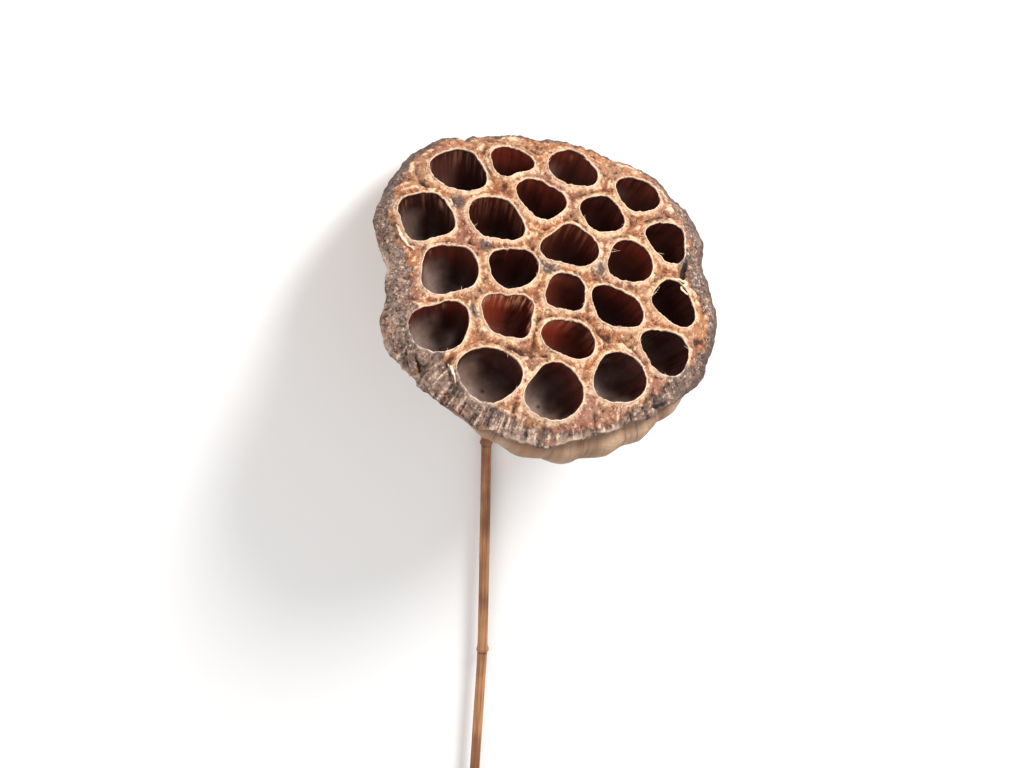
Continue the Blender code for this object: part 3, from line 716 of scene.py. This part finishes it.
# Torn and curled strips of skin. Each has a line (x, y, height over the face), its widths along that
# line, its thickness and how far its edges curl up.
strips = {
    "rimFlake": {
        "line": (
            (-40.9, -22.8, 0.0), (-40.2, -25.4, 0.5), (-39.3, -28.8, 1.0), (-38.2, -31.6, 1.2),
            (-38.0, -33.6, 0.7),
        ),
        "widths": (0.7, 1.9, 2.3, 1.5, 0.2), "thickness": 0.32, "curl": 0.35,
        "marks": {"rim": 1.0, "relief": 0.3, "edge": 0.5},
    },
    "cellFlap": {
        "line": (
            (35.6, 2.9, 0.3), (38.3, 2.9, 0.5), (40.0, 2.4, 0.5), (40.0, 1.5, 0.3), (38.9, 0.8, 0.1),
            (39.2, -0.6, 0.2), (40.6, -1.8, 0.3),
        ),
        "widths": (0.3, 0.6, 0.8, 0.9, 0.7, 0.6, 0.3), "thickness": 0.4, "curl": 0.1,
        "marks": {"lip": 0.9},
    },
    "cellSliver": {
        "line": ((-30.0, -27.8, 0.1), (-29.6, -29.6, 0.6), (-29.1, -31.7, 0.7), (-28.4, -34.0, 0.1)),
        "widths": (0.2, 0.7, 0.8, 0.2), "thickness": 0.5, "curl": 0.0, "marks": {"lip": 1.0},
    },
    "rimSliver": {
        "line": ((-42.4, 15.5, 0.1), (-41.6, 12.4, 0.5), (-40.2, 9.6, 0.6), (-37.9, 7.2, 0.1)),
        "widths": (0.2, 0.9, 0.9, 0.2), "thickness": 0.5, "curl": 0.0, "marks": {"lip": 0.8},
    },
}
stripGrid = {
    "rows": 28,
    "sides": 12,
    "wavering": (1.1, 0.25),  # size and share of the changes in width
}


# Rings round one line or many: an ellipse on the line's sideways direction and the one over it,
# whose sides curl up by curl cos^2 of the half width. Each end gets a fan.
def addTubes(shell, line, halfWide, halfThick, curl, sides, **marks):
    ahead = np.gradient(line, axis=-2)
    ahead /= np.linalg.norm(ahead, axis=-1, keepdims=True)
    side = np.cross(ahead, (0.0, 0.0, 1.0))
    side /= np.linalg.norm(side, axis=-1, keepdims=True)
    over = np.cross(side, ahead)
    way = np.radians(ringAngles(sides))[:, None]
    wide, thick = np.expand_dims(halfWide, (-2, -1)), np.expand_dims(halfThick, (-2, -1))
    up = np.sin(way) * thick + curl * np.cos(way) ** 2 * wide
    points = line[..., None, :] + np.cos(way) * wide * side[..., None, :] + up * over[..., None, :]
    index = shell.add(points, **marks)
    shell.band(index[..., :-1, :], index[..., 1:, :])
    shell.cap(index[..., 0, :], line[..., 0, :], **marks)
    shell.cap(index[..., -1, :], line[..., -1, :], last=True, **marks)


# A strip runs along a Catmull-Rom curve through the points of its line, over the face.
def stripShell(strip):
    shell = Shell()
    points = np.array(strip["line"])
    points = np.vstack([2.0 * points[0] - points[1], points, 2.0 * points[-1] - points[-2]])
    t = np.linspace(0.0, len(points) - 3.0, stripGrid["rows"])
    first = np.minimum(t.astype(int), len(points) - 4)
    u = (t - first)[:, None]
    a, b, c, d = (points[first + k] for k in range(4))
    line = b + 0.5 * u * (c - a + u * (2.0 * a - 5.0 * b + 4.0 * c - d + u * (3.0 * (b - c) + d - a)))
    line[:, 2] += faceSkin(line)[0]
    width = np.interp(t, range(len(strip["widths"])), strip["widths"])
    width = width * (1.0 + stripGrid["wavering"][1] * grain(line, stripGrid["wavering"][0], 35))
    thick = np.minimum(width, strip["thickness"])
    addTubes(shell, line, width / 2.0, thick / 2.0, strip["curl"], stripGrid["sides"], **strip["marks"])
    return shell


fibres = {
    "count": 110,
    "rows": 7,
    "sides": 5,
    "lengths": (0.6, 2.3),
    "radius": 0.075,
    "offMouth": (0.0, 0.35),
    "foot": 0.3,  # height of the foot over the face
    "outward": (-0.9, 0.6),  # parts of the way that a fibre starts in
    "sideways": (-1.0, 1.0),
    "upward": (0.2, 0.9),
    "bend": 0.35,
}


# Dry fibres on the lips: each is a parabola from a random place of a lip and thins to its tip.
def fibreShell():
    c = fibres
    shell = Shell()
    count = c["count"]
    which, angle = draw.integers(0, len(cells), count), draw.uniform(0.0, 360.0, count)
    reach = mouths(np.broadcast_to(angle, (len(cells), count)))[0][which, np.arange(count)]
    reach = reach + draw.uniform(*c["offMouth"], count)
    outward = around(1.0, angle)
    start = cells[which, :2] @ np.eye(2, 3) + outward * reach[:, None]
    start[:, 2] = faceSkin(start)[0] + c["foot"]
    sideways = outward[:, [1, 0, 2]] * (-1.0, 1.0, 0.0)
    parts = ("outward", "sideways", "upward")
    out, aside, rise = (draw.uniform(*fibres[part], count) for part in parts)
    way = outward * out[:, None] + sideways * aside[:, None] + stack(0.0, 0.0, rise)
    length = draw.uniform(*c["lengths"], count)[:, None, None]
    bend = draw.normal(0.0, c["bend"], (count, 1, 3))
    share = np.linspace(0.0, 1.0, c["rows"])[:, None]
    line = start[:, None] + length * (way[:, None] * share + bend * share**2)
    radius = c["radius"] * (1.04 - share[:, 0]) ** 0.6 * np.ones((count, 1))
    addTubes(shell, line, radius, radius, 0.0, c["sides"], lip=1.0)
    return shell


cane = {
    "topRadius": 1.5,
    "endRadius": 1.35,
    "top": 54.8,
    "swell": 0.3,
    "swellWidth": 0.9,
    "groove": 0.16,
    "grooveAt": 0.75,
    "grooveWidth": 0.28,
    "lineWidth": 0.6,  # of the dark line in the groove
    "scar": 0.34,  # bump of the leaf scar at a joint
    "scarAngles": (200.0, 20.0, 215.0, 40.0),
    "scarHalf": 32.0,
    "scarAt": -0.5,
    "scarLength": 0.9,
    "furrow": 0.035,
    "furrowSizes": (0.7, 9.0),
    "furrowStretch": 0.04,
    "step": 1.2,
    "lastGap": 0.4,  # no row is closer to the cut end, but for the chamfer's
    "jointRows": 25,
    "sides": 28,
    "chamfer": 0.1,
    "pith": 0.55,
    "endRings": ((1.25, 0.0), (1.0, 0.05), (0.55, 0.1), (0.5, 4.0)),  # radius, and how far inside the cut
}


# The cane: its radius falls evenly, swells by a bell curve at each joint, where a groove follows,
# and has a bump on one side; fine furrows run along it. A pith hole goes into the cut end.
def caneShell():
    c = cane
    shell = Shell()
    end = route["caneEnd"]
    rows = np.arange(c["top"], end - c["lastGap"], c["step"])
    joints = np.array(route["joints"])
    rows = rows[np.abs(rows[:, None] - joints).min(axis=1) > route["kinkHalf"]]
    extra = joints[:, None] + np.linspace(-1.0, 1.0, c["jointRows"]) * route["kinkHalf"]
    down = np.sort(np.concatenate([rows, extra.ravel(), [end - c["chamfer"]]]))[:, None]
    angle = ringAngles(c["sides"])
    radius = np.interp(down, (c["top"], end), (c["topRadius"], c["endRadius"]))
    ring = np.zeros_like(down)
    for joint, scarAngle in zip(joints, c["scarAngles"]):
        away = down - joint
        ring = ring + bell(away - c["grooveAt"], c["lineWidth"])
        radius = radius + c["swell"] * bell(away, c["swellWidth"])
        radius = radius - c["groove"] * bell(away - c["grooveAt"], c["grooveWidth"])
        side = bell(turnBetween(angle, scarAngle), c["scarHalf"])
        radius = radius + c["scar"] * side * bell(away - c["scarAt"], c["scarLength"])
    skin = around(c["topRadius"], angle, down)
    fine, broad = c["furrowSizes"]
    furrows = grain(skin * (1.0, 1.0, c["furrowStretch"]), fine, 26) + grain(skin, broad, 27)
    grid = shell.add(around(radius + c["furrow"] * furrows, angle, -down), skin, ring=ring)
    shell.band(grid[:-1], grid[1:])
    shell.cap(grid[0], (0.0, 0.0, -c["top"]))
    rings = [grid[-1]]
    for radius, depth in c["endRings"]:
        points = around(radius, angle, depth - end)
        pith = float(radius <= c["pith"])
        rings.append(shell.add(points, points * (1.0, 1.0, 0.0), cut=1.0, pith=pith))
    shell.chain(rings)
    shell.cap(rings[-1], (0.0, 0.0, depth - end), last=True, cut=1.0, pith=1.0)
    return shell


# One socket of a material. Arithmetic on it adds Math nodes, so that shader maths is an expression.
class Value:
    def __init__(self, finish, socket):
        self.finish, self.socket = finish, socket

    def maths(self, operation, *inputs):
        return self.finish.node("ShaderNodeMath", {"operation": operation}, dict(enumerate(inputs)))

    def __add__(self, other):
        return self.maths("ADD", self, other)

    def __sub__(self, other):
        return self.maths("SUBTRACT", self, other)

    def __rsub__(self, other):
        return self.maths("SUBTRACT", other, self)

    def __mul__(self, other):
        return self.maths("MULTIPLY", self, other)

    __radd__, __rmul__ = __add__, __mul__


# sRGB colour, 0 to 255, as the shader's own numbers.
def colour(*levels):
    share = np.array(levels) / 255.0
    linear = np.where(share <= 0.04045, share / 12.92, ((share + 0.055) / 1.055) ** 2.4)
    return (*linear.tolist(), 1.0)


# A material under way, with its colours by name.
class Finish:
    def __init__(self, name, colours):
        self.colours = {key: colour(*levels) for key, levels in colours.items()}
        self.material = bpy.data.materials.new(name)
        self.material.use_nodes = True
        self.tree = self.material.node_tree
        self.shader = self.tree.nodes["Principled BSDF"]

    # Adds a node: its type, its settings, which are set first, and the values or links of its sockets.
    def node(self, kind, settings=None, inputs=None, output=0):
        made = self.tree.nodes.new(kind)
        for name, value in (settings or {}).items():
            setattr(made, name, value)
        self.feed(made, inputs or {})
        return Value(self, self.find(made.outputs, output))

    # A socket by its number, its identifier or its name
    def find(self, sockets, key):
        if isinstance(key, int):
            return sockets[key]
        return next(socket for socket in sockets if key in (socket.identifier, socket.name))

    def feed(self, node, inputs):
        for key, value in inputs.items():
            socket = self.find(node.inputs, key)
            if isinstance(value, Value):
                self.tree.links.new(value.socket, socket)
            else:
                socket.default_value = self.colours[value] if isinstance(value, str) else value

    def marks(self, *names, output="Fac"):
        return [self.node("ShaderNodeAttribute", {"attribute_name": name}, output=output) for name in names]

    # Place on the unrolled skin
    def skin(self):
        return self.marks("grain", output="Vector")[0]

    # Object coordinates in millimetres
    def place(self):
        return self.stretch(self.node("ShaderNodeTexCoord", output="Object"), (1.0 / mm, 1.0 / mm, 1.0 / mm))

    def stretch(self, vector, by):
        return self.node("ShaderNodeVectorMath", {"operation": "MULTIPLY"}, {0: vector, 1: by})

    # size is the width of a lump in the units of the vector
    def noise(self, vector, size, detail=3.0, roughness=0.55, distortion=0.0):
        sizes = {"Scale": 1.0 / size, "Detail": detail, "Roughness": roughness, "Distortion": distortion}
        return self.node("ShaderNodeTexNoise", {"noise_dimensions": "3D"}, {"Vector": vector, **sizes})

    def ease(self, value, low, high):
        settings = {"interpolation_type": "SMOOTHSTEP"}
        return self.node("ShaderNodeMapRange", settings, {"Value": value, "From Min": low, "From Max": high})

    def mix(self, share, a, b):
        settings = {"data_type": "RGBA", "clamp_factor": True}
        inputs = {"Factor_Float": share, "A_Color": a, "B_Color": b}
        return self.node("ShaderNodeMix", settings, inputs, "Result_Color")

    # Lays a colour over another: not at all where the value is low, as much as share says where high
    def lay(self, under, over, value, low, high, share=1.0):
        return self.mix(self.ease(value, low, high) * share, under, over)

    # Joins all to the shader, with the height of the bump in millimetres, and gives the material
    def finished(self, colour, roughness, height, strength, gloss):
        bump = self.node("ShaderNodeBump", {}, {"Height": height, "Distance": mm, "Strength": strength})
        looks = {"Base Color": colour, "Roughness": roughness, "Normal": bump, "Specular IOR Level": gloss}
        self.feed(self.shader, looks)
        return self.material


podColours = {
    "sand": (168, 124, 92),
    "mauve": (152, 106, 97),
    "peach": (166, 106, 68),
    "rust": (122, 65, 39),
    "umber": (48, 29, 23),
    "cream": (240, 205, 168),
    "ash": (98, 84, 80),
    "rimPale": (157, 129, 113),
    "rimGrey": (104, 82, 73),
    "rimDark": (34, 24, 21),
    "rimHighlight": (224, 194, 170),
    "rimEdgeShade": (82, 66, 58),
    "wallPale": (194, 159, 130),
    "wallTan": (172, 130, 101),
    "wallRose": (160, 116, 98),
    "wallDark": (96, 68, 54),
    "lip": (244, 218, 196),
    "cellRed": (116, 44, 28),
    "cellDark": (48, 22, 18),
    "cellSheen": (214, 184, 169),
    "cellRustLit": (200, 108, 82),
    "cellTan": (236, 178, 142),
    # Near black, painted into the cracks as painted shade.
    "crack": (34, 22, 18),
}


def podFinish():
    f = Finish("driedPod", podColours)
    place, skin = f.place(), f.skin()
    streaks = f.stretch(skin, (1.0, 1.0, 0.06))
    relief, gap, crease, crack, dusty = f.marks("relief", "gap", "crease", "crack", "ash")
    rim, pleat, border, pale, drawn = f.marks("rim", "pleat", "edge", "pale", "drawn")
    pit, depth, tone, grey, rustLit = f.marks("pit", "cellDepth", "cellTone", "grey", "rust")
    streaky, lip, wall, under, neck = f.marks("streaky", "lip", "wall", "under", "neck")
    patches, mottle, fine = f.noise(place, 9.0), f.noise(place, 2.4, 5.0, 0.6), f.noise(place, 0.6, 4.0, 0.65)
    grit, strands = f.noise(place, 1.1, 4.0, 0.6, 0.4), f.noise(skin, 0.6, 4.0, 0.6)
    rough = (fine - 0.5) * 0.6 + (strands - 0.5) * 1.1
    mottled = mottle - 0.5

    face = f.lay("sand", "peach", patches, 0.36, 0.62)
    face = f.lay(face, "mauve", f.noise(place, 21.0, 2.0), 0.48, 0.62, 0.55)
    # Rust mottle, pushed a little into the creases as painted shade.
    face = f.lay(face, "rust", mottle + crease * 0.1, 0.5, 0.66, 0.75)
    face = f.lay(face, "ash", dusty + mottled * 1.6, 0.16, 0.66, 0.9)
    # Painted highlight: cream on the raised ground round the lips and on the tops of the relief.
    face = f.lay(face, "cream", gap + mottled * 3.4 + rough * 1.6, 1.5, 0.1, 0.85)
    face = f.lay(face, "cream", relief + rough * 0.8, 0.08, 0.45, 0.8)
    face = f.lay(face, "cream", grit, 0.56, 0.66, 0.55)
    face = f.lay(face, "rust", grit + rough * 0.12, 0.45, 0.34, 0.6)
    # Painted shade: umber in the hollows of the relief and deeper in the creases.
    face = f.lay(face, "umber", relief + rough * 0.9 - crease * 0.12, -0.14, -0.6, 0.85)
    face = f.lay(face, "umber", fine + mottled * 0.5, 0.59, 0.71, 0.85)

    # The rim band is a little greyer on the side where its edge gets painted shade.
    greyed = mottle + (strands - 0.5) * 0.6 + (1.0 - pale) * 0.1
    band = f.lay("rimPale", "rimGrey", greyed, 0.36, 0.62)
    band = f.lay(band, "peach", f.noise(place, 5.0, 4.0, 0.6), 0.54, 0.68, 0.5)
    band = f.lay(band, "ash", dusty + mottled * 1.4, 0.2, 0.8, 0.7)
    # Painted shade in the gaps between the rim's pleats and painted highlight on their tops, mixed with
    # speckle of the skin's own.
    strokes = (pleat * 0.6 + (strands - 0.5) * 2.0) * (0.3 + 0.7 * drawn)
    pleated = strokes + (fine - 0.5) * (2.6 - 1.4 * drawn) + (grit - 0.5) * 2.2
    band = f.lay(band, "rimDark", pleated, -0.04, -0.48, 0.9)
    band = f.lay(band, "rimHighlight", pleated, 0.17, 0.58, 0.82)
    body = f.lay(face, band, rim + mottled * 0.8, 0.3, 0.7)
    # Painted shade along the rim's edge on one side, and painted highlight along it on the other.
    body = f.lay(body, "rimEdgeShade", border + rough * 0.7 + mottled * 0.8, 0.3, 0.8, (1.0 - pale) * 0.75)
    body = f.lay(body, "rimHighlight", patches, 0.44, 0.56, border * pale * 0.55)

    lines = f.noise(streaks, 1.6, 5.0, 0.6)
    side = f.lay("wallPale", "wallTan", f.noise(streaks, 6.0), 0.36, 0.64)
    side = f.lay(side, "wallRose", f.noise(place, 16.0, 4.0, 0.6), 0.52, 0.72, 0.7)
    side = f.lay(side, "wallDark", lines, 0.53, 0.7, 0.7)
    # Painted shade in the grooves of the wall's lines and ribs.
    side = f.lay(side, "wallDark", relief, -0.05, -0.45, 0.4)
    # Painted shadow on the wall under the rim's crease, and painted shade at the neck under the bowl.
    side = f.mix(under * 0.6, side, "wallDark")
    side = f.mix(neck * 0.7, side, "wallDark")
    body = f.lay(body, side, wall, 0.3, 0.8)

    veins, smoke = f.noise(streaks, 1.3, 4.0, 0.6), f.noise(place, 4.0)
    red = f.ease(depth, 0.8, 0.05) * f.ease(tone + (veins - 0.5) * 1.8, -0.5, 0.7)
    inside = f.mix(red, "cellDark", "cellRed")
    # Reddish colour of the wall's own, painted brighter on one side near the mouth as painted light.
    inside = f.mix(rustLit * (0.9 + 0.6 * (veins - 0.5)), inside, "cellRustLit")
    # Pale painted sheen and light on one side of the pit floors.
    inside = f.mix(grey * (0.6 + 0.8 * (smoke - 0.5) + 0.5 * (veins - 0.5)), inside, "cellSheen")
    # Painted highlight, tan, on the crests of the folds down the pit walls near the mouth, with pale streaks
    # of the wall's own.
    crest = f.ease(relief, 0.14, 0.5) + f.ease(veins, 0.5, 0.58) * streaky
    inside = f.lay(inside, "cellTan", depth, 0.6, 0.05, crest * 0.9)
    body = f.mix(pit, body, inside)
    worn = f.ease(f.noise(place, 1.9, 4.0, 0.6), 0.42, 0.58)
    body = f.mix(lip * (0.28 + 0.72 * worn), body, "lip")
    # Painted shade, near black, in the cracks and deep creases.
    body = f.lay(body, "crack", crack + rough * 0.4, 0.25, 1.0, 0.95)

    height = (fine * 0.25 + grit * 0.4 + mottle * 0.16 + strands * 0.4) * (1.0 - pit * 0.85)
    height = height + lines * wall * 0.3 + veins * pit * (0.15 + 0.9 * streaky)
    roughness = 0.88 - pit * (0.42 + 0.12 * fine) - wall * 0.16
    return f.finished(body, roughness, height, 0.9, 0.4)


caneColours = {
    "gold": (184, 132, 88),
    "tan": (146, 94, 59),
    "brown": (108, 60, 40),
    "ring": (74, 42, 28),
    "cut": (206, 172, 126),
    "pith": (60, 38, 26),
}


def caneFinish():
    f = Finish("driedCane", caneColours)
    skin = f.skin()
    ring, cut, pith = f.marks("ring", "cut", "pith")
    stripe, slow = f.noise(f.stretch(skin, (1.0, 1.0, 0.035)), 0.55, 4.0, 0.6), f.noise(skin, 22.0)
    bark = f.lay("gold", "tan", stripe + (slow - 0.5) * 0.8, 0.38, 0.62)
    bark = f.lay(bark, "brown", slow, 0.42, 0.68, 0.8)
    bark = f.lay(bark, "ring", ring + (stripe - 0.5) * 0.8, 0.55, 1.1, 0.75)
    bark = f.mix(cut, bark, "cut")
    bark = f.mix(pith, bark, "pith")
    return f.finished(bark, 0.42 + 0.2 * stripe + 0.3 * cut, stripe * 0.12, 0.8, 0.45)


shot = {
    "tilt": 32.0,  # of the face away from square to the view
    "turn": 27.0,  # of that tilt's axis in the picture
    "lens": 300.0,
    "sensor": 36.0,
    "nearest": 0.05,  # metres
    "picture": (1024, 768),
    "facePixel": (549, 278),  # where the top of the face shows
    "mmPerPixel": 0.279,
}


# Two directions at right angles, both turned by an angle in their plane.
def turned(a, b, angle):
    return math.cos(angle) * a - math.sin(angle) * b, math.sin(angle) * a + math.cos(angle) * b


# The camera's axes are the face's own, tilted and turned; it stands off as far as gives the scale.
def aimCamera():
    lift, tilt, turn = (math.radians(value) for value in (route["faceLift"], shot["tilt"], shot["turn"]))
    faceX = Vector((0.0, -1.0, 0.0))
    faceY = Vector((math.sin(lift), 0.0, -math.cos(lift)))
    faceZ = Vector((math.cos(lift), 0.0, math.sin(lift)))
    sideways, upward = turned(faceX, faceY, turn)
    back, tilted = turned(faceZ, upward, tilt)
    up, right = turned(tilted, sideways, turn)
    (wide, high), (faceRight, faceDown), scale = shot["picture"], shot["facePixel"], shot["mmPerPixel"]
    away = scale * wide * shot["lens"] / shot["sensor"]
    offRight, offUp = (faceRight - wide / 2.0) * scale, (high / 2.0 - faceDown) * scale
    at = (Vector(route["faceAt"]) + back * away - right * offRight - up * offUp) * mm
    lens = bpy.data.cameras.new("camera")
    lens.lens, lens.sensor_width = shot["lens"], shot["sensor"]
    lens.clip_start = shot["nearest"]
    camera = addObject("camera", lens)
    camera.matrix_world = Matrix.Translation(at) @ Matrix((right, up, back)).transposed().to_4x4()
    bpy.context.scene.camera = camera
    return right, up, back


studio = {
    "floor": {"Base Color": (0.96, 0.955, 0.95, 1.0), "Roughness": 0.9, "Specular IOR Level": 0.1},
    "floorHalf": 3.0,  # metres
    "air": (1.0, 0.99, 0.98, 1.0),
    "airStrength": 0.62,
    "key": ((0.58, 0.48, 0.7), 0.75, 0.32, 7.1),  # right, up, towards the camera; metres off; size; watts
    "fill": ((-0.5, -0.2, 0.9), 0.9, 0.8, 2.2),
}


# Round soft light that looks at the face.
def softBox(name, axes, aim, away, size, watts):
    light = bpy.data.lights.new(name, "AREA")
    light.shape, light.size, light.energy = "DISK", size, watts
    way = sum((axis * share for axis, share in zip(axes, aim)), Vector()).normalized()
    stance = way.to_track_quat("Z", "Y").to_matrix().to_4x4()
    at = Vector(route["faceAt"]) * mm + way * away
    addObject(name, light).matrix_world = Matrix.Translation(at) @ stance


def makeStudio(axes):
    half = studio["floorHalf"]
    corners = [(-half, -half, 0.0), (half, -half, 0.0), (half, half, 0.0), (-half, half, 0.0)]
    mesh = bpy.data.meshes.new("floor")
    mesh.from_pydata(corners, [], [(0, 1, 2, 3)])
    finish = Finish("paleFloor", {})
    finish.feed(finish.shader, studio["floor"])
    mesh.materials.append(finish.material)
    addObject("floor", mesh)
    world = bpy.data.worlds.new("studio")
    world.use_nodes = True
    air = world.node_tree.nodes["Background"].inputs
    air["Color"].default_value, air["Strength"].default_value = studio["air"], studio["airStrength"]
    bpy.context.scene.world = world
    bpy.context.scene.view_settings.view_transform = "Standard"
    softBox("key", axes, *studio["key"])
    softBox("fill", axes, *studio["fill"])


axes = aimCamera()
makeStudio(axes)
print("camera and studio ready")
driedPod = podFinish()
makePiece("podHead", podShell(), driedPod, "pod")
for name, strip in strips.items():
    makePiece(name, stripShell(strip), driedPod, "pod")
makePiece("podFibres", fibreShell(), driedPod, "pod")
makePiece("caneStem", caneShell(), caneFinish(), "stem")
